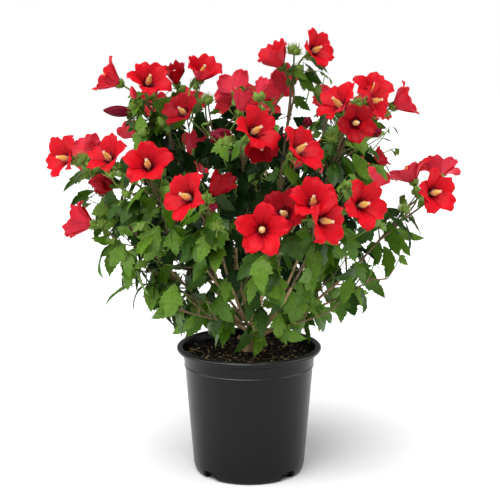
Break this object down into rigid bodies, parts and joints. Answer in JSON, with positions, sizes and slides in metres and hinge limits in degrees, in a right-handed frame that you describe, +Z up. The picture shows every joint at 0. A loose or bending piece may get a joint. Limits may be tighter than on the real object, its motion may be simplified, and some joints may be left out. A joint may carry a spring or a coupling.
{
  "type": "potted hibiscus shrub",
  "caption": "Bushy hibiscus shrub in a black plastic nursery pot, with a short branching trunk, a dome of lobed green leaves and open red five-petalled blooms.",
  "frame": {"origin": "centre of the pot's flat underside, on the ground", "axes": "+Z up, -Y towards the front that the picture shows, +X to the right of that front"},
  "size_m": [0.7885, 0.7423, 0.8606],
  "materials": {
    "pot_plastic": "moulded, satin",
    "potting_mix": "rough, crumbly",
    "bark": "matte bark",
    "foliage": "satin leaf",
    "petals": "soft petal",
    "stamens": "powdery"
  },
  "bodies": {
    "root": {"bough_back_centre": "bark", "bough_back_left": "bark", "bough_back_left_upper": "bark", "bough_back_right": "bark", "bough_back_right_upper": "bark", "bough_front_centre": "bark", "bough_front_left": "bark", "bough_front_middle": "bark", "bough_front_right": "bark", "bough_front_upper": "bark", "bough_left": "bark", "bough_left_front": "bark", "bough_left_low": "bark", "bough_left_upper": "bark", "bough_low_back_left": "bark", "bough_low_back_right": "bark", "bough_low_front": "bark", "bough_low_front_left": "bark", "bough_low_front_right": "bark", "bough_right": "bark", "bough_right_front": "bark", "bough_right_low": "bark", "bough_right_upper": "bark", "bough_top_back": "bark", "bough_top_right": "bark", "bough_upper_left": "bark", "foliage_back_centre": "foliage", "foliage_back_left": "foliage", "foliage_back_left_upper": "foliage", "foliage_back_right": "foliage", "foliage_back_right_upper": "foliage", "foliage_front_centre": "foliage", "foliage_front_left": "foliage", "foliage_front_middle": "foliage", "foliage_front_right": "foliage", "foliage_front_upper": "foliage", "foliage_left": "foliage", "foliage_left_front": "foliage", "foliage_left_low": "foliage", "foliage_left_upper": "foliage", "foliage_low_back_left": "foliage", "foliage_low_back_right": "foliage", "foliage_low_front": "foliage", "foliage_low_front_left": "foliage", "foliage_low_front_right": "foliage", "foliage_right": "foliage", "foliage_right_front": "foliage", "foliage_right_low": "foliage", "foliage_right_upper": "foliage", "foliage_top_back": "foliage", "foliage_top_right": "foliage", "foliage_upper_left": "foliage", "pot": "pot_plastic", "potting_mix": "potting_mix", "trunk": "bark"}
  },
  "joints": []
}
